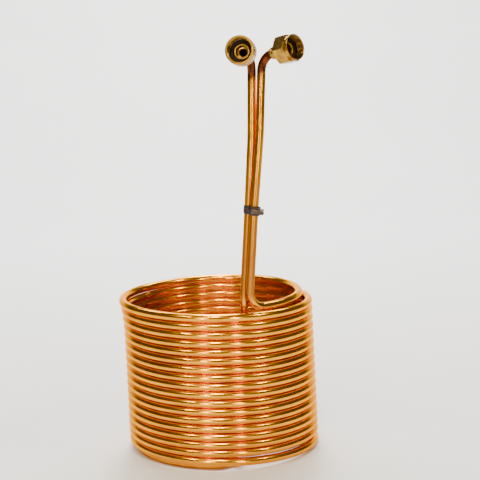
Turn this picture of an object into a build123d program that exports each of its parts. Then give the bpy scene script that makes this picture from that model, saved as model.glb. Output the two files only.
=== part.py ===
from build123d import *
import os
from math import cos, pi, radians, sin, tan

os.makedirs("parts", exist_ok=True)

# Immersion wort chiller, in millimetres. +Z is up, the risers and their fittings face -Y, and the
# origin is on the surface it stands on, under the middle of its overall box.
# Plan positions below are taken from the coil's axis; shift() moves them into the part's frame.

# ---- copper tube -----------------------------------------------------------------------------
TUBE_OD = 9.525                 # 3/8 inch refrigeration tube
TUBE_WALL = 0.8
TUBE_R = TUBE_OD / 2
BORE_R = TUBE_R - TUBE_WALL
AXIS_X, AXIS_Y = 1.67, 12.84     # the coil's axis, seen from the middle of the overall box

# ---- coil ------------------------------------------------------------------------------------
# Turns count down from the front (-Y): turn 1.0 is the first strand there and 18.0 the last but one.
PITCH = 9.65
MID_TURN = 9.5
COIL_R = 106.5                  # tube centre, at the middle turn
FLARE = 0.083                   # growth of the radius per turn, downwards
LEAN = 0.2                      # sideways creep of the turns, per turn downwards
TURN_TOP = 0.097                # where the top turn leaves for its riser
TURN_END = 18.978               # where the bottom turn leaves for its riser
FIRST_STRAND_Z = 175.2
TOP_INSET = 11.0                # the top turn is pulled in on its right-hand side,
TOP_DROP = 2.2                  # and dips towards the foot of its riser
TOP_BULGE = 4.8                 # the upper turns bulge on the left
END_TUCK = 8.5                  # the bottom turn is tucked in under the one above
PUSH_BACK = 4.7                 # the lowest turns are set back
SPANS_PER_TURN = 6

# ---- risers, as corners of straight runs, from the coil's axis ---------------------------------
FOOT_BEND = 19.0
SIDE_BEND = 16.0
INNER_FOOT_BEND = 15.0
TOP_BEND = 20.0
BOW = 350.0
TOP_FOOT = (32.8, -91.4)
TOP_RUN = [(41.0, -86.9, 291.0), (49.0, -85.5, 372.9)]
TOP_CORNER = (53.2, -84.0, 457.9)
BOTTOM_TURN_IN = 10.0
BOTTOM_FOOT = (14.5, -75.5)
BOTTOM_RUN = [(35.1, -78.9, 291.0), (40.4, -80.5, 372.9)]
BOTTOM_CORNER = (42.4, -82.4, 455.1)

# ---- fittings, measured back from the nut's rim along its axis ---------------------------------
ROUND_REACH, HEX_REACH = 58.0, 50.0    # from the riser's corner to the rim
ROUND_AIM = (14.5, 12.0)        # degrees left of -Y, degrees up
HEX_AIM = (-45.0, 12.0)
TUBE_END = 18.0
THREAD_R = 12.3                 # minor radius of 3/4 inch garden hose thread
THREAD_LEN = 9.0
RELIEF_R = 13.3
NUT_LEN = 20.0
LIP = 3.5
NECK_R = 8.75
LIP_BORE_R = 8.83
FLANGE_R = 12.0
FLANGE = 2.4
NIPPLE_R = 8.9
NIPPLE_FACE = 10.4
MOUTH_R = 6.1
SOCKET_R = 4.80
BARB_R, BARB_ROOT_R = 7.3, 6.5
BARB_START, BARB_END = 21.2, 33.4
BARBS = 3
WASHER_R, WASHER_BORE_R = 13.3, 9.3
WASHER_FRONT, WASHER_T = 10.9, 2.8
SOLDER = 1.5
COLLAR_R, COLLAR = 14.1, 4.5
HEX_FLATS = 28.6
RIM_R, KNURL_R, GROOVE_R, SHOULDER_R = 15.75, 15.6, 15.0, 12.4
RIM, GROOVE, KNURL_END = 3.2, 1.0, 14.0
FLUTES, FLUTE_R, FLUTE_DEPTH = 30, 1.3, 0.45

# ---- worm drive clamp, in its own frame on the outer riser --------------------------------------
CLAMP_TILT = 3.4
BAND_W, BAND_T, BAND_GAP = 9.0, 0.65, 0.25
CORNER_X, CORNER_R = 4.0, 2.5
TAIL = 10.0
HOUSING_X0, HOUSING_X1 = -3.3, 5.5
HOUSING_WALL = 0.7
SCREW_Y = -9.75
WORM_R, WORM_ROOT_R, JOURNAL_R = 3.1, 2.5, 1.8
RUNNING, CLEAR = 0.05, 0.3
HEAD_FLATS, HEAD_LEN, WASHER_HEAD_R = 6.35, 3.6, 3.6
SLOT_W, SLOT_DEPTH = 1.1, 1.4


def ease(t):
    """Smooth step from 0 to 1."""
    t = min(max(t, 0.0), 1.0)
    return t * t * (3 - 2 * t)


def shift(x, y, z):
    """A place given from the coil's axis, in the part's frame."""
    return Vector(x + AXIS_X, y + AXIS_Y, z)


def coil_point(turn):
    """Centre of the tube, this many turns down the coil."""
    angle = 360 * turn - 90
    radius = COIL_R + FLARE * (turn - MID_TURN)
    if turn < 1:
        radius -= TOP_INSET * ease((75 - angle) / 75)
    side = (angle + 180) % 360 - 180
    if abs(abs(side) - 180) < 70:
        fade = 2.72 ** (-(turn - 0.75) / 1.6)
        radius += TOP_BULGE * fade * cos(radians((abs(side) - 180) * 90 / 70)) ** 2
    radius -= END_TUCK * ease((turn - 18.45) / 0.5)
    back = PUSH_BACK * ease((turn - 13.5) / 5)
    winding_z = FIRST_STRAND_Z - PITCH * (turn - 1) - TOP_DROP * ease(-angle / 55)
    landed = ease((turn - 17.9) / 0.55)
    z = winding_z * (1 - landed) + TUBE_R * landed
    a = radians(angle)
    return shift(LEAN * (turn - MID_TURN) + radius * cos(a), back + radius * sin(a), z)


def coil_heading(turn):
    """Direction of travel down the coil."""
    return (coil_point(turn + 1e-4) - coil_point(turn - 1e-4)).normalized()


def coil_slope(turn):
    """Change of place per radian of winding."""
    step = 1e-4
    return (coil_point(turn + step) - coil_point(turn - step)) / (4 * pi * step)


def coil_path():
    """Sixths of a turn, each a cubic curve that leaves as the one before it arrived."""
    count = round(SPANS_PER_TURN * (TURN_END - TURN_TOP))
    span = (TURN_END - TURN_TOP) / count
    handle = 4 / 3 * tan(2 * pi * span / 4)
    edges = []
    for i in range(count):
        first = TURN_TOP + span * i
        last = first + span
        begin, finish = coil_point(first), coil_point(last)
        leave = begin + coil_slope(first) * handle
        arrive = finish - coil_slope(last) * handle
        edges.append(Bezier(begin, leave, arrive, finish).edge())
    return Wire(edges)


def tube_along(path, start, heading):
    """Hollow copper tube along a path: an outer skin, a bore skin and a flat ring at each end."""
    plane = Plane(origin=start, z_dir=heading)
    skins = []
    ends = []
    for radius in (TUBE_R, BORE_R):
        faces = sweep(plane * Circle(radius), path=path).faces()
        flat = faces.filter_by(GeomType.PLANE)
        skins += [face for face in faces if face not in flat]
        ends.append(sorted(flat, key=lambda face: (face.center() - start).length))
    rings = [Face(ends[0][k].outer_wire(), [ends[1][k].outer_wire()]) for k in range(2)]
    return Solid(Shell(skins + rings))


def aim(left, up):
    """Unit vector: degrees left of -Y, degrees above level."""
    level = cos(radians(up))
    return Vector(-sin(radians(left)) * level, -cos(radians(left)) * level, sin(radians(up)))


def fitting_plane(corner, direction, reach):
    """Frame of a fitting: origin at the rim's centre, z out of its mouth."""
    rim = shift(*corner) + direction * reach
    side = Vector(0, 0, 1).cross(direction).normalized()
    return Plane(origin=rim, x_dir=side, z_dir=direction)


def riser_path(start, heading, corners, radii):
    """Straight runs with round bends, from the coil's end to the tube's end."""
    points = [start] + corners
    return FilletPolyline(*points, radius=radii).wire()


def turned(profile):
    """Solid of revolution about the fitting's axis from (radius, distance behind the rim) pairs."""
    points = [(r, 0, -back) for r, back in profile]
    return revolve(make_face(Polyline(*points, close=True)), Axis.Z)


def nut_cavity():
    """Threaded mouth, relief for washer and flange, and the bore of the rear lip."""
    lip_front = NUT_LEN - LIP
    return turned([
        (0, -1), (THREAD_R + 1.6, -1), (THREAD_R + 0.9, 0), (THREAD_R, 0.9),
        (THREAD_R, THREAD_LEN + 0.4), (RELIEF_R, THREAD_LEN + 1.2), (RELIEF_R, lip_front),
        (LIP_BORE_R, lip_front), (LIP_BORE_R, NUT_LEN + 1), (0, NUT_LEN + 1),
    ])


def hex_nut_body():
    """Hexagonal nut with a round front collar."""
    collar = turned([(0, 0), (COLLAR_R - 0.4, 0), (COLLAR_R, 0.4), (COLLAR_R, COLLAR + 1), (0, COLLAR + 1)])
    prism = extrude(RegularPolygon(HEX_FLATS / 2, 6, major_radius=False), NUT_LEN - COLLAR)
    prism = Pos(0, 0, -NUT_LEN) * prism
    corner_r = HEX_FLATS / 2 / cos(pi / 6)
    crown = turned([
        (0, COLLAR - 0.1), (corner_r - 1.8, COLLAR - 0.1), (corner_r + 0.1, COLLAR + 1.0),
        (corner_r + 0.1, NUT_LEN - 1.2), (corner_r - 2.2, NUT_LEN + 0.1), (0, NUT_LEN + 0.1),
    ])
    return collar + (prism & crown) - nut_cavity()


def round_nut_body():
    """Round nut with a smooth rim, a fluted grip and a stepped shoulder."""
    body = turned([
        (0, 0), (RIM_R - 0.7, 0), (RIM_R, 0.7), (RIM_R, RIM), (GROOVE_R, RIM + 0.3),
        (GROOVE_R, RIM + GROOVE), (KNURL_R, RIM + GROOVE + 0.4), (KNURL_R, KNURL_END),
        (GROOVE_R - 0.2, KNURL_END + 0.6), (GROOVE_R - 0.2, KNURL_END + 2.2),
        (SHOULDER_R, NUT_LEN), (0, NUT_LEN),
    ])
    flute_len = KNURL_END - RIM - GROOVE
    flute = Pos(0, 0, -RIM - GROOVE - flute_len / 2) * Cylinder(FLUTE_R, flute_len + 1)
    radius = KNURL_R + FLUTE_R - FLUTE_DEPTH
    for place in PolarLocations(radius, FLUTES):
        body -= place * flute
    return body - nut_cavity()


def tailpiece():
    """Hollow stem: nipple, flange, neck and hose barbs, bored to take the tube."""
    flange_front = WASHER_FRONT + WASHER_T + 0.1
    outline = [
        (MOUTH_R + 0.7, NIPPLE_FACE), (NIPPLE_R - 0.8, NIPPLE_FACE), (NIPPLE_R, NIPPLE_FACE + 0.8),
        (NIPPLE_R, flange_front), (FLANGE_R, flange_front), (FLANGE_R, flange_front + FLANGE),
        (NECK_R, flange_front + FLANGE), (NECK_R, BARB_START - 0.6), (BARB_ROOT_R, BARB_START),
    ]
    step = (BARB_END - BARB_START) / BARBS
    for i in range(BARBS):
        back = BARB_START + step * i
        outline += [(BARB_R - 0.2, back + 0.5), (BARB_R, back + 1.0), (BARB_ROOT_R, back + step)]
    outline += [(SOCKET_R, BARB_END), (SOCKET_R, TUBE_END), (MOUTH_R, TUBE_END), (MOUTH_R, NIPPLE_FACE + 0.7)]
    return turned(outline)


def washer():
    """Flat rubber hose washer, loose round the nipple."""
    return turned([
        (WASHER_BORE_R, WASHER_FRONT), (WASHER_R, WASHER_FRONT),
        (WASHER_R, WASHER_FRONT + WASHER_T - 0.3), (WASHER_BORE_R, WASHER_FRONT + WASHER_T - 0.3),
    ])


def solder_fillet():
    """Cone of solder behind the barbs, round the tube."""
    return turned([
        (TUBE_R + 0.02, BARB_END), (BARB_ROOT_R - 0.3, BARB_END),
        (TUBE_R + 0.5, BARB_END + 0.8), (TUBE_R + 0.02, BARB_END + SOLDER),
    ])


def clamp_plane():
    """Frame of the clamp: on the outer riser's axis, x right, z up along the risers."""
    tilt = radians(CLAMP_TILT)
    return Plane(origin=shift(*TOP_RUN[0]), x_dir=(cos(tilt), 0, -sin(tilt)), z_dir=(sin(tilt), 0, cos(tilt)))


def band_outline():
    """Inner line of the band: a loop round both risers, flat under the housing."""
    r = TUBE_R + BAND_GAP
    dx = BOTTOM_RUN[0][0] - TOP_RUN[0][0]
    dy = BOTTOM_RUN[0][1] - TOP_RUN[0][1]
    circles = [Circle(r), Pos(dx, dy) * Circle(r), Pos(CORNER_X, CORNER_R - r) * Circle(CORNER_R)]
    return make_hull([c.edge() for c in circles])


def clamp_band():
    """Steel strip closed on itself, with its free end lying outside the loop."""
    inside = band_outline()
    first = offset(inside, BAND_T)
    second = offset(inside, 2 * BAND_T)
    tail_zone = Pos(HOUSING_X1 - (HOUSING_X1 - HOUSING_X0 + TAIL) / 2, -7.0) * Rectangle(
        HOUSING_X1 - HOUSING_X0 + TAIL, 14.0)
    tail_zone -= Pos(-TAIL, 2.0) * Rectangle(4.0, 8.0)
    profile = first - inside + ((second - first) & tail_zone)
    return Pos(0, 0, -BAND_W / 2) * extrude(profile, BAND_W)


def along_x(shape, x0):
    """A shape built along +Z, laid along +X on the screw's line from x0."""
    return Plane(origin=(x0, SCREW_Y, 0), x_dir=(0, 1, 0), z_dir=(1, 0, 0)) * shape


def clamp_housing():
    """Arched cover over the worm, closed at both ends round the screw's journals."""
    length = HOUSING_X1 - HOUSING_X0
    cavity_r = WORM_R + CLEAR
    shell_r = cavity_r + HOUSING_WALL
    base_y = -(TUBE_R + BAND_GAP + 2 * BAND_T + 0.06)
    foot = base_y - SCREW_Y
    outer = Circle(shell_r) + Pos(foot / 2, 0) * Rectangle(foot, 2 * shell_r)
    outer += Pos(foot - 0.5, 0) * Rectangle(1.0, BAND_W + 1.4)
    outer &= Pos(foot - 10, 0) * Rectangle(20, 20)
    block = along_x(extrude(outer, length), HOUSING_X0)
    hollow = Circle(cavity_r) + Pos(foot / 2 + 0.5, 0) * Rectangle(foot + 1.0, 2 * cavity_r)
    hollow_len = length - 2 * HOUSING_WALL
    hollow_block = along_x(extrude(hollow, hollow_len), HOUSING_X0 + HOUSING_WALL)
    journals = along_x(extrude(Circle(JOURNAL_R + RUNNING), length + 2), HOUSING_X0 - 1)
    return block - hollow_block - journals


def clamp_screw():
    """Worm with a journal at each end and a slotted hexagon head."""
    length = HOUSING_X1 - HOUSING_X0
    worm_len = length - 2 * (HOUSING_WALL + CLEAR)
    shaft = along_x(extrude(Circle(JOURNAL_R), length + 0.9), HOUSING_X0 - 0.4)
    worm = Circle(WORM_ROOT_R)
    screw = shaft + along_x(extrude(worm, worm_len), HOUSING_X0 + HOUSING_WALL + CLEAR)
    turns = int(worm_len / 1.6)
    for i in range(turns):
        crest = Cone(WORM_R, WORM_ROOT_R, 0.5, align=(Align.CENTER, Align.CENTER, Align.MIN))
        crest += Pos(0, 0, -0.5) * Cone(WORM_ROOT_R, WORM_R, 0.5, align=(Align.CENTER, Align.CENTER, Align.MIN))
        screw += along_x(crest, HOUSING_X0 + HOUSING_WALL + CLEAR + 0.8 + 1.6 * i)
    collar = Cylinder(WASHER_HEAD_R, 0.9, align=(Align.CENTER, Align.CENTER, Align.MIN))
    screw += along_x(collar, HOUSING_X1 + CLEAR)
    head = extrude(RegularPolygon(HEAD_FLATS / 2, 6, major_radius=False), HEAD_LEN)
    head -= Pos(0, 0, HEAD_LEN) * Box(SLOT_W, 2 * HEAD_FLATS, 2 * SLOT_DEPTH)
    return screw + along_x(head, HOUSING_X1 + 1.2)


# ---- build -------------------------------------------------------------------------------------
parts = {}

coil_start = coil_point(TURN_TOP)
coil_end = coil_point(TURN_END)
parts["coil"] = tube_along(coil_path(), coil_start, coil_heading(TURN_TOP))

hex_aim = aim(*HEX_AIM)
round_aim = aim(*ROUND_AIM)
hex_frame = fitting_plane(TOP_CORNER, hex_aim, HEX_REACH)
round_frame = fitting_plane(BOTTOM_CORNER, round_aim, ROUND_REACH)

up_heading = coil_heading(TURN_TOP) * -1
foot_run = shift(*TOP_FOOT, 0) - coil_start
foot_run = (foot_run.X ** 2 + foot_run.Y ** 2) ** 0.5
foot_run /= (up_heading.X ** 2 + up_heading.Y ** 2) ** 0.5
top_corners = [coil_start + up_heading * foot_run]
top_corners += [shift(*p) for p in TOP_RUN] + [shift(*TOP_CORNER), hex_frame.origin - hex_aim * TUBE_END]
top_path = riser_path(coil_start, up_heading, top_corners, [FOOT_BEND, BOW, BOW, TOP_BEND])
parts["top_riser"] = tube_along(top_path, coil_start, up_heading)

out_heading = coil_heading(TURN_END)
bottom_corners = [coil_end + out_heading * BOTTOM_TURN_IN, shift(*BOTTOM_FOOT, TUBE_R)]
bottom_corners += [shift(*p) for p in BOTTOM_RUN]
bottom_corners += [shift(*BOTTOM_CORNER), round_frame.origin - round_aim * TUBE_END]
bottom_path = riser_path(coil_end, out_heading, bottom_corners, [SIDE_BEND, INNER_FOOT_BEND, BOW, BOW, TOP_BEND])
parts["bottom_riser"] = tube_along(bottom_path, coil_end, out_heading)

for name, frame, nut in (("round", round_frame, round_nut_body()), ("hex", hex_frame, hex_nut_body())):
    parts[name + "_nut"] = frame * nut
    parts[name + "_tailpiece"] = frame * tailpiece()
    parts[name + "_washer"] = frame * washer()
    parts[name + "_solder"] = frame * solder_fillet()

clamp = clamp_plane()
parts["clamp_band"] = clamp * clamp_band()
parts["clamp_housing"] = clamp * clamp_housing()
parts["clamp_screw"] = clamp * clamp_screw()

for name, part in parts.items():
    export_step(part, f"parts/{name}.step")
    box = part.bounding_box()
    print(name, round(part.volume, 1), [round(v, 2) for v in (*box.min, *box.max)])
print("round nut rim", round_frame.origin, round_aim)
print("hex nut rim", hex_frame.origin, hex_aim)
print("clamp screw", clamp.from_local_coords(Vector(HOUSING_X1, SCREW_Y, 0)), clamp.x_dir)
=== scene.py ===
from math import acos, cos, pi, radians, sin, tan

import bpy
import numpy as np
from mathutils import Matrix, Vector


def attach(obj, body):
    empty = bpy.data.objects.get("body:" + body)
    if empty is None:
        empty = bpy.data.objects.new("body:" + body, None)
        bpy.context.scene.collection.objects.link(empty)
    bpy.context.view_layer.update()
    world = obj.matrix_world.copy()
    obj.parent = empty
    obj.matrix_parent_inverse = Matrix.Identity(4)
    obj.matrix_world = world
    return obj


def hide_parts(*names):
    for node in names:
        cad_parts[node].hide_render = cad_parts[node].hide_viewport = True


# Immersion wort chiller, in metres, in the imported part's frame.
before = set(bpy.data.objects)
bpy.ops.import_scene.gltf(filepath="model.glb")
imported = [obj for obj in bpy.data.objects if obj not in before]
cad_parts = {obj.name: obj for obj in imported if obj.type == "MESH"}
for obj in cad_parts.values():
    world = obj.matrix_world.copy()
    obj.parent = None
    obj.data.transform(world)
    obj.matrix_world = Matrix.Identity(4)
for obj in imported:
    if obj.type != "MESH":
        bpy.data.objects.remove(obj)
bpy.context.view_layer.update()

MM = 0.001

# ---- the part's driving dimensions, in millimetres ---------------------------------------------
TUBE_R, BORE_R = 4.7625, 3.9625
AXIS_X, AXIS_Y = 1.67, 12.84
PITCH, MID_TURN, COIL_R, FLARE, LEAN = 9.65, 9.5, 106.5, 0.083, 0.2
TURN_TOP, TURN_END, FIRST_STRAND_Z = 0.097, 18.978, 175.2
TOP_INSET, TOP_DROP, TOP_BULGE = 11.0, 2.2, 4.8
END_TUCK, PUSH_BACK = 8.5, 4.7
INSET_UNTIL, DROP_OVER, BULGE_HALF = 75.0, 55.0, 70.0    # degrees round the first turn
FOOT_BEND, SIDE_BEND, INNER_FOOT_BEND, TOP_BEND, BOW = 19.0, 16.0, 15.0, 20.0, 350.0
TOP_FOOT = (32.8, -91.4)
TOP_RUN = [(41.0, -86.9, 291.0), (49.0, -85.5, 372.9)]
TOP_CORNER = (53.2, -84.0, 457.9)
BOTTOM_TURN_IN = 10.0
BOTTOM_FOOT = (14.5, -75.5)
BOTTOM_RUN = [(35.1, -78.9, 291.0), (40.4, -80.5, 372.9)]
BOTTOM_CORNER = (42.4, -82.4, 455.1)
ROUND_REACH, HEX_REACH = 58.0, 50.0
ROUND_AIM, HEX_AIM = (14.5, 12.0), (-45.0, 12.0)
TUBE_END, NUT_LEN, LIP = 18.0, 20.0, 3.5
THREAD_R, THREAD_LEN, RELIEF_R, THREAD_PITCH = 12.3, 9.0, 13.3, 25.4 / 11.5
NECK_R, LIP_BORE_R, FLANGE_R, FLANGE = 8.75, 8.83, 12.0, 2.4
NIPPLE_R, NIPPLE_FACE, MOUTH_R, SOCKET_R = 8.9, 10.4, 6.1, 4.80
BARB_R, BARB_ROOT_R, BARB_START, BARB_END, BARBS = 7.3, 6.5, 21.2, 33.4, 3
WASHER_R, WASHER_BORE_R, WASHER_FRONT, WASHER_T = 13.28, 9.3, 10.9, 2.5
COLLAR_R, COLLAR, HEX_FLATS = 14.1, 4.5, 28.6
RIM_R, KNURL_R, GROOVE_R, SHOULDER_R = 15.75, 15.6, 15.0, 12.4
RIM, GROOVE, KNURL_END, FLUTES = 3.2, 1.0, 14.0, 30

# ---- how finely the pieces are drawn -----------------------------------------------------------
STEPS_PER_TURN, RISER_STEP, BEND_STEP = 110, 4.0, 1.2
TUBE_SIDES, NUT_SIDES, STEM_SIDES, BEAD_SIDES = 32, 360, 96, 72
END_DEPTH = 6            # rings of bore that show inside each open end of the tube
GRAIN_STRETCH = 2        # lengths of the copper's grain per metre of tube


# ---- paths -------------------------------------------------------------------------------------
def ease(t):
    t = min(max(t, 0.0), 1.0)
    return t * t * (3 - 2 * t)


def shift(x, y, z):
    return np.array([x + AXIS_X, y + AXIS_Y, z])


def coil_point(turn):
    """Centre of the tube, this many turns down the coil."""
    angle = 360 * turn - 90
    radius = COIL_R + FLARE * (turn - MID_TURN)
    if turn < 1:
        radius -= TOP_INSET * ease((INSET_UNTIL - angle) / INSET_UNTIL)
    side = (angle + 180) % 360 - 180
    if abs(abs(side) - 180) < BULGE_HALF:
        fade = 2.72 ** (-(turn - 0.75) / 1.6)
        radius += TOP_BULGE * fade * cos(radians((abs(side) - 180) * 90 / BULGE_HALF)) ** 2
    radius -= END_TUCK * ease((turn - 18.45) / 0.5)
    back = PUSH_BACK * ease((turn - 13.5) / 5)
    winding_z = FIRST_STRAND_Z - PITCH * (turn - 1) - TOP_DROP * ease(-angle / DROP_OVER)
    landed = ease((turn - 17.9) / 0.55)
    z = winding_z * (1 - landed) + TUBE_R * landed
    a = radians(angle)
    return shift(LEAN * (turn - MID_TURN) + radius * cos(a), back + radius * sin(a), z)


def unit(v):
    return v / np.linalg.norm(v)


def heading(turn):
    return unit(coil_point(turn + 1e-4) - coil_point(turn - 1e-4))


def aim(left, up):
    level = cos(radians(up))
    return np.array([-sin(radians(left)) * level, -cos(radians(left)) * level, sin(radians(up))])


def rounded(points, radii, step):
    """Straight runs with round bends, as closely spaced points."""
    out = [points[0]]
    for before, corner, after, radius in zip(points, points[1:], points[2:], radii):
        a, b = unit(before - corner), unit(after - corner)
        half = acos(max(-1.0, min(1.0, -(a @ b)))) / 2
        start = corner + a * radius * tan(half)
        finish = corner + b * radius * tan(half)
        centre = corner + unit(a + b) * radius / cos(half)
        spoke = start - centre
        axis = unit(np.cross(spoke, finish - centre))
        count = max(3, int(2 * half * radius / BEND_STEP))
        for j in range(count + 1):
            f = 2 * half * j / count
            out.append(centre + spoke * cos(f) + np.cross(axis, spoke) * sin(f))
    out.append(points[-1])
    dense = []
    for p, q in zip(out, out[1:]):
        count = max(1, int(np.linalg.norm(q - p) / step))
        dense += [p + (q - p) * k / count for k in range(count)]
    return np.array(dense + [out[-1]])


round_aim, hex_aim = aim(*ROUND_AIM), aim(*HEX_AIM)
round_rim = shift(*BOTTOM_CORNER) + round_aim * ROUND_REACH
hex_rim = shift(*TOP_CORNER) + hex_aim * HEX_REACH

top_start, top_up = coil_point(TURN_TOP), -heading(TURN_TOP)
run = np.linalg.norm((shift(*TOP_FOOT, 0) - top_start)[:2]) / np.linalg.norm(top_up[:2])
top_corners = [top_start, top_start + top_up * run] + [shift(*p) for p in TOP_RUN]
top_corners += [shift(*TOP_CORNER), hex_rim - hex_aim * TUBE_END]
top_riser = rounded(top_corners, [FOOT_BEND, BOW, BOW, TOP_BEND], RISER_STEP)

bottom_start, bottom_out = coil_point(TURN_END), heading(TURN_END)
bottom_corners = [bottom_start, bottom_start + bottom_out * BOTTOM_TURN_IN, shift(*BOTTOM_FOOT, TUBE_R)]
bottom_corners += [shift(*p) for p in BOTTOM_RUN]
bottom_corners += [shift(*BOTTOM_CORNER), round_rim - round_aim * TUBE_END]
bottom_bends = [SIDE_BEND, INNER_FOOT_BEND, BOW, BOW, TOP_BEND]
bottom_riser = rounded(bottom_corners, bottom_bends, RISER_STEP)

turns = np.linspace(TURN_TOP, TURN_END, int(STEPS_PER_TURN * (TURN_END - TURN_TOP)))
winding = np.array([coil_point(t) for t in turns])
tube_path = np.concatenate([top_riser[::-1], winding[1:-1], bottom_riser])


# ---- mesh building -----------------------------------------------------------------------------
def make_mesh(name, rows, sharp=35, tie_ends=False, lengths=None):
    """A skin over rows of points, each a closed ring. tie_ends joins the last row to the first."""
    count, sides = rows.shape[:2]
    faces = []
    last = count if tie_ends else count - 1
    for i in range(last):
        a, b = i * sides, ((i + 1) % count) * sides
        for j in range(sides):
            k = (j + 1) % sides
            faces.append((a + j, a + k, b + k, b + j))
    mesh = bpy.data.meshes.new(name)
    mesh.from_pydata((rows.reshape(-1, 3) * MM).tolist(), [], faces)
    mesh.update()
    if lengths is not None:
        uv = mesh.uv_layers.new(name="along")
        data = np.zeros((len(faces), 4, 2))
        j = np.tile(np.arange(sides), last)
        i = np.repeat(np.arange(last), sides)
        around = j / sides
        data[:, 0, 0], data[:, 1, 0], data[:, 2, 0], data[:, 3, 0] = (
            lengths[i], lengths[i], lengths[i + 1], lengths[i + 1])
        data[:, 0, 1], data[:, 3, 1] = around, around
        data[:, 1, 1], data[:, 2, 1] = around + 1 / sides, around + 1 / sides
        uv.data.foreach_set("uv", data.reshape(-1))
    mesh.shade_smooth()
    mesh.set_sharp_from_angle(angle=radians(sharp))
    obj = bpy.data.objects.new(name, mesh)
    bpy.context.scene.collection.objects.link(obj)
    return obj


def tube_rows(path, sides, radii):
    """Rings round a path, carried along it without twist. radii holds (index, radius) in order."""
    tangents = np.gradient(path, axis=0)
    tangents /= np.linalg.norm(tangents, axis=1)[:, None]
    u = unit(np.cross(tangents[0], [0.0, 0.0, 1.0]))
    frames = []
    for t in tangents:
        u = unit(u - t * (u @ t))
        frames.append((u, np.cross(t, u)))
    f = np.linspace(0, 2 * pi, sides, endpoint=False)
    rows = []
    for i, radius in radii:
        a, b = frames[i]
        rows.append(path[i] + radius * (np.cos(f)[:, None] * a + np.sin(f)[:, None] * b))
    return np.array(rows)


def fitting_matrix(rim, direction):
    """Columns: sideways, upwards, out of the mouth; origin at the rim's centre."""
    side = unit(np.cross([0.0, 0.0, 1.0], direction))
    return np.column_stack([side, np.cross(direction, side), direction]), rim


def lathe(name, profile, place, sides, shape=None, tie_ends=True, sharp=35):
    """Turned piece from (radius, distance behind the rim) pairs.

    shape(r, back, angle) may vary the radius round the piece.
    """
    axes, rim = place
    f = np.linspace(0, 2 * pi, sides, endpoint=False)
    rows = []
    for r, back in profile:
        radius = np.full(sides, r, float) if shape is None else shape(r, back, f)
        local = np.column_stack([radius * np.cos(f), radius * np.sin(f), np.full(sides, -back)])
        rows.append(rim + local @ axes.T)
    return make_mesh(name, np.array(rows), sharp, tie_ends)


def softened(profile, bevel):
    """The same closed outline with each corner cut by a small bevel of two points."""
    out = []
    n = len(profile)
    for i in range(n):
        p = np.array(profile[i], float)
        a = np.array(profile[i - 1], float) - p
        b = np.array(profile[(i + 1) % n], float) - p
        la, lb = np.linalg.norm(a), np.linalg.norm(b)
        if la < 1e-6 or lb < 1e-6:
            continue
        cut = min(bevel, la * 0.4, lb * 0.4)
        first, last = p + a / la * cut, p + b / lb * cut
        mid = (first + last) / 2 * 0.5 + p * 0.5
        out += [tuple(first), tuple(mid), tuple(last)]
    return out


# ---- materials ---------------------------------------------------------------------------------
class Nodes:
    """Small helper for procedural node trees."""

    def __init__(self, name):
        self.material = bpy.data.materials.new(name)
        self.material.use_nodes = True
        self.tree = self.material.node_tree
        self.shader = self.tree.nodes["Principled BSDF"]
        coords = self.tree.nodes.new("ShaderNodeTexCoord")
        self.place = coords.outputs["Object"]
        self.along = coords.outputs["UV"]

    def link(self, out, into):
        self.tree.links.new(out, into)

    def position(self):
        split = self.tree.nodes.new("ShaderNodeSeparateXYZ")
        self.link(self.place, split.inputs[0])
        return split

    def noise(self, scale, detail=3.0, stretch=(1, 1, 1), source=None):
        mapping = self.tree.nodes.new("ShaderNodeMapping")
        mapping.inputs["Scale"].default_value = stretch
        self.link(source or self.place, mapping.inputs["Vector"])
        node = self.tree.nodes.new("ShaderNodeTexNoise")
        node.inputs["Scale"].default_value = scale
        node.inputs["Detail"].default_value = detail
        node.inputs["Roughness"].default_value = 0.55
        self.link(mapping.outputs[0], node.inputs["Vector"])
        return node.outputs[0]

    def ranged(self, value, low, high, to_low=0.0, to_high=1.0):
        node = self.tree.nodes.new("ShaderNodeMapRange")
        node.interpolation_type = "SMOOTHSTEP"
        limits = {"From Min": low, "From Max": high, "To Min": to_low, "To Max": to_high}
        for socket, number in limits.items():
            node.inputs[socket].default_value = number
        self.link(value, node.inputs["Value"])
        return node.outputs[0]

    def maths(self, operation, a, b):
        node = self.tree.nodes.new("ShaderNodeMath")
        node.operation = operation
        for socket, value in zip(node.inputs, (a, b)):
            if isinstance(value, (int, float)):
                socket.default_value = value
            else:
                self.link(value, socket)
        return node.outputs[0]

    def mix(self, factor, a, b):
        node = self.tree.nodes.new("ShaderNodeMix")
        node.data_type = "RGBA"
        self.link(factor, node.inputs[0])
        for socket, value in ((node.inputs[6], a), (node.inputs[7], b)):
            if isinstance(value, tuple):
                socket.default_value = (*value, 1.0)
            else:
                self.link(value, socket)
        return node.outputs[2]

    def bump(self, value, strength, distance):
        node = self.tree.nodes.new("ShaderNodeBump")
        node.inputs["Strength"].default_value = strength
        node.inputs["Distance"].default_value = distance
        self.link(value, node.inputs["Height"])
        self.link(node.outputs[0], self.shader.inputs["Normal"])

    def finish(self, color, roughness, metallic=1.0):
        self.link(color, self.shader.inputs["Base Color"])
        self.link(roughness, self.shader.inputs["Roughness"])
        self.shader.inputs["Metallic"].default_value = metallic
        return self.material


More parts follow.
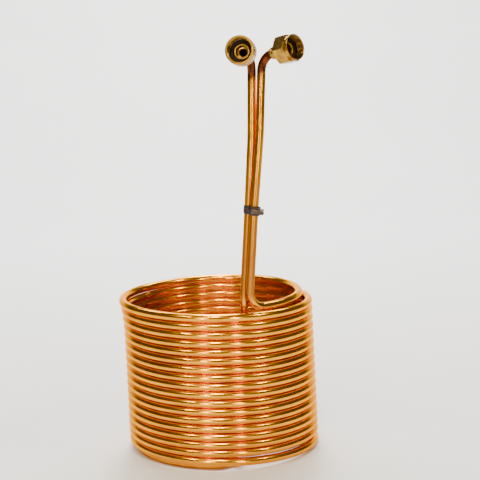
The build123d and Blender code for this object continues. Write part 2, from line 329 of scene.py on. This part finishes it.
def copper_material():
    n = Nodes("copper")
    streaks = n.noise(1.0, 4.0, (18.0, 26.0, 1.0), n.along)
    fine = n.noise(1.0, 3.0, (60.0, 160.0, 1.0), n.along)
    blotch = n.noise(28.0, 4.0)
    base = n.mix(n.ranged(blotch, 0.35, 0.7), (0.86, 0.375, 0.014), (0.72, 0.285, 0.010))
    base = n.mix(n.ranged(streaks, 0.5, 0.8, 0.0, 0.35), base, (0.58, 0.21, 0.010))
    place = n.position()
    # the risers have browned towards the coil
    out_of_coil = n.ranged(place.outputs[2], 0.186, 0.200)
    browned = n.maths("MULTIPLY", out_of_coil, n.ranged(place.outputs[2], 0.415, 0.225, 0.0, 0.8))
    base = n.mix(browned, base, (0.34, 0.105, 0.022))
    # heat from the solder joints has left both ends dark
    wander = n.maths("MULTIPLY", n.noise(70.0, 3.0), 0.012)
    edge = n.maths("ADD", place.outputs[2], wander)
    slope = n.maths("MULTIPLY", n.maths("SUBTRACT", place.outputs[0], 0.040), -0.50)
    edge = n.maths("ADD", edge, slope)
    burnt = n.ranged(edge, 0.4325, 0.4410)
    scale = n.mix(n.ranged(n.noise(160.0, 4.0), 0.4, 0.62), (0.050, 0.014, 0.006), (0.17, 0.045, 0.018))
    base = n.mix(burnt, base, scale)
    rough = n.ranged(fine, 0.3, 0.75, 0.14, 0.26)
    rough = n.maths("ADD", rough, n.maths("MULTIPLY", burnt, 0.22))
    rough = n.maths("ADD", rough, n.maths("MULTIPLY", browned, 0.20))
    n.shader.inputs["Specular Tint"].default_value = (0.95, 0.62, 0.34, 1.0)
    n.bump(n.maths("ADD", n.maths("MULTIPLY", streaks, 0.7), n.maths("MULTIPLY", fine, 0.3)), 0.10, 0.0004)
    return n.finish(base, rough)


def brass_material(name, light, dark, grime):
    n = Nodes(name)
    cloud = n.noise(120.0, 4.0)
    grain = n.noise(900.0, 3.0)
    base = n.mix(n.ranged(cloud, 0.35, 0.68), light, dark)
    base = n.mix(n.ranged(grain, 0.55, 0.75, 0.0, 0.5), base, grime)
    n.bump(n.maths("ADD", grain, n.maths("MULTIPLY", cloud, 0.6)), 0.22, 0.0003)
    return n.finish(base, n.ranged(cloud, 0.3, 0.7, 0.22, 0.38))


def steel_material():
    n = Nodes("steel")
    brush = n.noise(1.0, 3.0, (300.0, 300.0, 2600.0))
    cloud = n.noise(240.0, 3.0)
    base = n.mix(n.ranged(cloud, 0.35, 0.7), (0.11, 0.085, 0.075), (0.045, 0.034, 0.028))
    n.bump(brush, 0.15, 0.0002)
    return n.finish(base, n.ranged(brush, 0.3, 0.7, 0.32, 0.50))


def rubber_material():
    n = Nodes("rubber")
    grain = n.noise(1400.0, 3.0)
    base = n.mix(n.ranged(grain, 0.35, 0.7), (0.014, 0.006, 0.004), (0.026, 0.012, 0.008))
    n.bump(grain, 0.3, 0.0002)
    n.shader.inputs["Specular IOR Level"].default_value = 0.2
    return n.finish(base, n.ranged(grain, 0.3, 0.7, 0.65, 0.85), 0.0)


def solder_material():
    n = Nodes("solder")
    cloud = n.noise(500.0, 3.0)
    base = n.mix(n.ranged(cloud, 0.35, 0.7), (0.48, 0.45, 0.40), (0.22, 0.17, 0.12))
    n.bump(cloud, 0.5, 0.0004)
    return n.finish(base, n.ranged(cloud, 0.3, 0.7, 0.3, 0.5))


def stage_material(name, light, dark, scale):
    n = Nodes(name)
    cloud = n.noise(scale, 2.0)
    return n.finish(n.mix(n.ranged(cloud, 0.2, 0.8), light, dark), n.ranged(cloud, 0.2, 0.8, 0.6, 0.7), 0.0)


copper, steel = copper_material(), steel_material()
brass = brass_material("brass", (0.46, 0.26, 0.035), (0.26, 0.135, 0.020), (0.14, 0.065, 0.012))
# darker copy of the brass for the inside of the nuts' mouths: painted shade, standing in for light that
# does not get into them
mouth_shade_brass = brass_material("mouth_shade_brass", (0.22, 0.11, 0.020), (0.07, 0.032, 0.010), (0.03, 0.014, 0.006))
rubber, solder = rubber_material(), solder_material()


def shade_mouth(nut, rows):
    """Brass outside, and a darker copy of the brass on the given rows, which line the nut's mouth: painted
    shade in the recess.
    """
    nut.data.materials.append(brass)
    nut.data.materials.append(mouth_shade_brass)
    for polygon in nut.data.polygons:
        if rows[0] <= polygon.index // NUT_SIDES < rows[1]:
            polygon.material_index = 1


def fit_out(obj, material, slot, body, *nodes):
    """Gives a piece its material, its body and the CAD nodes it stands for."""
    if material:
        obj.data.materials.append(material)
    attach(obj, body)
    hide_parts(*nodes)


# ---- copper tube, one hollow length ------------------------------------------------------------
count = len(tube_path)
rings = [(i, BORE_R) for i in range(END_DEPTH, 0, -1)] + [(0, BORE_R), (0, TUBE_R - 0.15), (0, TUBE_R)]
rings += [(i, TUBE_R) for i in range(1, count)]
rings += [(count - 1, TUBE_R - 0.15), (count - 1, BORE_R)]
rings += [(i, BORE_R) for i in range(count - 2, count - 2 - END_DEPTH, -1)]
step_lengths = np.linalg.norm(np.diff(tube_path, axis=0), axis=1)
travel = np.concatenate([[0], np.cumsum(step_lengths)]) * MM * GRAIN_STRETCH
tube_lengths = np.array([travel[i] for i, _ in rings])
tube = make_mesh("copper_tube", tube_rows(tube_path, TUBE_SIDES, rings), lengths=tube_lengths)
fit_out(tube, copper, "copper", "tube_assembly", "coil", "top_riser", "bottom_riser")


# ---- fittings ----------------------------------------------------------------------------------
def thread_depth(back, f):
    """Depth of the helical groove cut into the mouth's wall."""
    phase = (back / THREAD_PITCH + f / (2 * pi)) % 1.0
    groove = np.clip(1.35 - np.abs(phase - 0.5) * 4.2, 0, 1)
    lead_in = min(1.0, max(0.0, (back - 0.4) / 0.8))
    run_out = min(1.0, max(0.0, (THREAD_LEN + 0.4 - back) / 0.5))
    return 0.85 * groove * (lead_in * run_out)


def mouth_profile():
    """Inside of a nut, from its rim to the back of the lip's bore."""
    wall = [(THREAD_R, float(b)) for b in np.arange(0.9, THREAD_LEN + 0.41, 0.17)]
    return [(THREAD_R + 0.9, 0.0), (THREAD_R + 0.45, 0.45)] + wall + [
        (RELIEF_R, THREAD_LEN + 1.2), (RELIEF_R, NUT_LEN - LIP - 0.1), (RELIEF_R - 0.1, NUT_LEN - LIP),
        (LIP_BORE_R + 0.15, NUT_LEN - LIP), (LIP_BORE_R, NUT_LEN - LIP + 0.15),
        (LIP_BORE_R, NUT_LEN - 0.15), (LIP_BORE_R + 0.15, NUT_LEN)]


def round_shape(r, back, f):
    if r > 14.3 and RIM + GROOVE + 0.3 < back < KNURL_END + 0.05:
        wave = np.abs(np.sin(f * FLUTES / 2))
        return r - 0.55 * (1 - wave ** 0.7)
    if r == THREAD_R:
        return r + thread_depth(back, f)
    return np.full(len(f), r, float)


def hex_shape(r, back, f):
    if r == THREAD_R:
        return r + thread_depth(back, f)
    if r > 14.2:
        flat = HEX_FLATS / 2 / np.cos(f % (pi / 3) - pi / 6)
        return np.minimum(flat, r)
    return np.full(len(f), r, float)


round_place = fitting_matrix(round_rim, round_aim)
hex_place = fitting_matrix(hex_rim, hex_aim)

round_outside = [(SHOULDER_R, NUT_LEN), (SHOULDER_R + 0.25, NUT_LEN - 0.12)]
round_outside += [(GROOVE_R - 0.45, KNURL_END + 2.3), (GROOVE_R - 0.2, KNURL_END + 2.0)]
round_outside += [(GROOVE_R - 0.2, KNURL_END + 0.7), (KNURL_R - 0.25, KNURL_END + 0.15)]
round_outside += [(KNURL_R, float(b)) for b in np.linspace(KNURL_END - 0.1, RIM + GROOVE + 0.5, 7)]
round_outside += [(KNURL_R - 0.3, RIM + GROOVE + 0.2), (GROOVE_R, RIM + GROOVE), (GROOVE_R, RIM + 0.35)]
round_outside += [(RIM_R - 0.1, RIM), (RIM_R, RIM - 0.15), (RIM_R, 0.75), (RIM_R - 0.1, 0.45)]
round_outside += [(RIM_R - 0.3, 0.2), (RIM_R - 0.6, 0.03), (RIM_R - 0.8, 0.0), (THREAD_R + 1.1, 0.0)]

corner_r = HEX_FLATS / 2 / cos(pi / 6)
hex_outside = [(LIP_BORE_R + 0.6, NUT_LEN), (corner_r - 2.4, NUT_LEN)]
hex_outside += [(corner_r - 2.4 + 2.4 * t, NUT_LEN - 1.2 * t) for t in (0.25, 0.5, 0.75, 1.0)]
hex_outside += [(corner_r + 0.1, float(b)) for b in np.linspace(NUT_LEN - 1.4, COLLAR + 1.1, 5)]
hex_outside += [(corner_r - 1.7 + 1.7 * t, COLLAR + 1.0 * t) for t in (0.9, 0.6, 0.3, 0.0)]
hex_outside += [(COLLAR_R, COLLAR - 0.02), (COLLAR_R, 0.45), (COLLAR_R - 0.08, 0.2)]
hex_outside += [(COLLAR_R - 0.25, 0.05), (COLLAR_R - 0.4, 0.0), (THREAD_R + 1.1, 0.0)]

for name, outside, place, shape in (
        ("round", round_outside, round_place, round_shape), ("hex", hex_outside, hex_place, hex_shape)):
    mouth = mouth_profile()
    nut = lathe(name + "_nut_visual", outside + mouth, place, NUT_SIDES, shape, sharp=32)
    # the mouth rows get the darker brass copy: painted shade inside the nut
    shade_mouth(nut, (len(outside) + 1, len(outside) + len(mouth)))
    fit_out(nut, None, "brass", name + "_swivel", name + "_nut")


def tailpiece_profile():
    flange_front = WASHER_FRONT + WASHER_T + 0.4
    outline = [
        (MOUTH_R + 0.7, NIPPLE_FACE), (NIPPLE_R - 0.8, NIPPLE_FACE), (NIPPLE_R, NIPPLE_FACE + 0.8),
        (NIPPLE_R, flange_front), (FLANGE_R, flange_front), (FLANGE_R, flange_front + FLANGE),
        (NECK_R, flange_front + FLANGE), (NECK_R, BARB_START - 0.6), (BARB_ROOT_R, BARB_START),
    ]
    step = (BARB_END - BARB_START) / BARBS
    for i in range(BARBS):
        back = BARB_START + step * i
        outline += [(BARB_R - 0.2, back + 0.5), (BARB_R, back + 1.0), (BARB_ROOT_R, back + step)]
    outline += [(SOCKET_R, BARB_END), (SOCKET_R, TUBE_END)]
    outline += [(MOUTH_R, TUBE_END), (MOUTH_R, NIPPLE_FACE + 0.7)]
    return softened(outline, 0.16)


def washer_profile():
    back = WASHER_FRONT + WASHER_T
    front = [(WASHER_BORE_R, WASHER_FRONT), (WASHER_R, WASHER_FRONT)]
    return softened(front + [(WASHER_R, back), (WASHER_BORE_R, back)], 0.45)


def solder_profile():
    return softened([
        (TUBE_R + 0.02, BARB_END), (BARB_ROOT_R - 0.3, BARB_END),
        (TUBE_R + 0.5, BARB_END + 0.8), (TUBE_R + 0.02, BARB_END + 1.5)], 0.15)


for name, place, swivel in (("round", round_place, "round_swivel"), ("hex", hex_place, "hex_swivel")):
    stem = lathe(name + "_tailpiece_visual", tailpiece_profile(), place, STEM_SIDES)
    fit_out(stem, brass, "brass", "tube_assembly", name + "_tailpiece")
    ring = lathe(name + "_washer_visual", washer_profile(), place, STEM_SIDES, sharp=80)
    fit_out(ring, rubber, "rubber", swivel, name + "_washer")
    bead = lathe(name + "_solder_visual", solder_profile(), place, BEAD_SIDES, sharp=80)
    fit_out(bead, solder, "solder", "tube_assembly", name + "_solder")

# ---- worm drive clamp --------------------------------------------------------------------------
for name in ("clamp_band", "clamp_housing", "clamp_screw"):
    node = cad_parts[name]
    node.data.materials.clear()
    node.data.materials.append(steel)


# ---- studio ------------------------------------------------------------------------------------
def board(name, corners, material):
    """A flat or folded sheet of the set, from rows of points in metres."""
    mesh = bpy.data.meshes.new(name)
    rows, columns = len(corners), len(corners[0])
    points = [p for row in corners for p in row]
    faces = [(i * columns + j, i * columns + j + 1, (i + 1) * columns + j + 1, (i + 1) * columns + j)
             for i in range(rows - 1) for j in range(columns - 1)]
    mesh.from_pydata(points, [], faces)
    mesh.shade_smooth()
    mesh.materials.append(material)
    obj = bpy.data.objects.new(name, mesh)
    bpy.context.scene.collection.objects.link(obj)


def area_light(name, place, target, size, power, color=(1, 1, 1)):
    data = bpy.data.lights.new(name, "AREA")
    data.shape = "RECTANGLE"
    data.size, data.size_y = size
    data.energy = power
    data.color = color
    obj = bpy.data.objects.new(name, data)
    obj.location = place
    obj.rotation_euler = (Vector(target) - Vector(place)).to_track_quat("-Z", "Y").to_euler()
    bpy.context.scene.collection.objects.link(obj)


paper = stage_material("paper", (0.90, 0.90, 0.90), (0.87, 0.87, 0.87), 3.0)

sweep = []
for k in range(13):
    a = radians(90 * k / 12)
    sweep.append((1.6 + 1.2 * sin(a), 1.2 - 1.2 * cos(a)))
profile = [(-2.6, 0.0), (0.0, 0.0)] + sweep + [(2.8, 1.5)]
board("backdrop", [[(x, y, z) for x in (-3.2, -1.0, 1.0, 3.2)] for y, z in profile], paper)

centre = (0.0, 0.0, 0.12)
warm = (1.0, 0.89, 0.66)
area_light("key", (-0.10, -1.00, 1.50), centre, (0.20, 0.20), 16, warm)
area_light("left", (-1.00, -0.95, 1.55), centre, (0.20, 0.18), 10, warm)
area_light("right", (1.25, -0.70, 1.55), centre, (0.20, 0.18), 10, warm)
area_light("left_strip", (-0.55, -1.65, 0.55), (0.0, 0.0, 0.36), (0.08, 1.2), 11, warm)
area_light("right_strip", (0.60, -1.60, 0.55), (0.0, 0.0, 0.36), (0.08, 1.2), 11, warm)
area_light("top", (0.0, 1.10, 2.3), (0.0, 0.75, 0.0), (0.5, 0.2), 50)
area_light("back_wash", (0.0, 1.6, 2.3), (0.0, 2.2, 0.2), (3.0, 0.5), 140)

world = bpy.data.worlds.new("studio")
world.use_nodes = True
world.node_tree.nodes["Background"].inputs["Color"].default_value = (1.0, 0.93, 0.82, 1.0)
world.node_tree.nodes["Background"].inputs["Strength"].default_value = 0.12
bpy.context.scene.world = world

# ---- camera ------------------------------------------------------------------------------------
LENS_MM, SENSOR_MM = 103.875, 36.0
CAMERA_PLACE = (0, -1590.0, 502.1)      # mm from the coil's axis and the ground
YAW, DROP, ROLL = radians(0.943), radians(9.197), radians(-1.456)
forward = Vector((sin(YAW) * cos(DROP), cos(YAW) * cos(DROP), -sin(DROP)))
level = Vector((cos(YAW), -sin(YAW), 0.0))
raised = level.cross(forward)
right = level * cos(ROLL) + raised * sin(ROLL)
upward = raised * cos(ROLL) - level * sin(ROLL)
camera_data = bpy.data.cameras.new("camera")
camera_data.sensor_width = SENSOR_MM
camera_data.lens = LENS_MM
camera = bpy.data.objects.new("camera", camera_data)
bpy.context.scene.collection.objects.link(camera)
spot = Vector(shift(*CAMERA_PLACE)) * MM
facing = Matrix((right, upward, -forward)).transposed().to_4x4()
camera.matrix_world = Matrix.Translation(spot) @ facing
bpy.context.scene.camera = camera
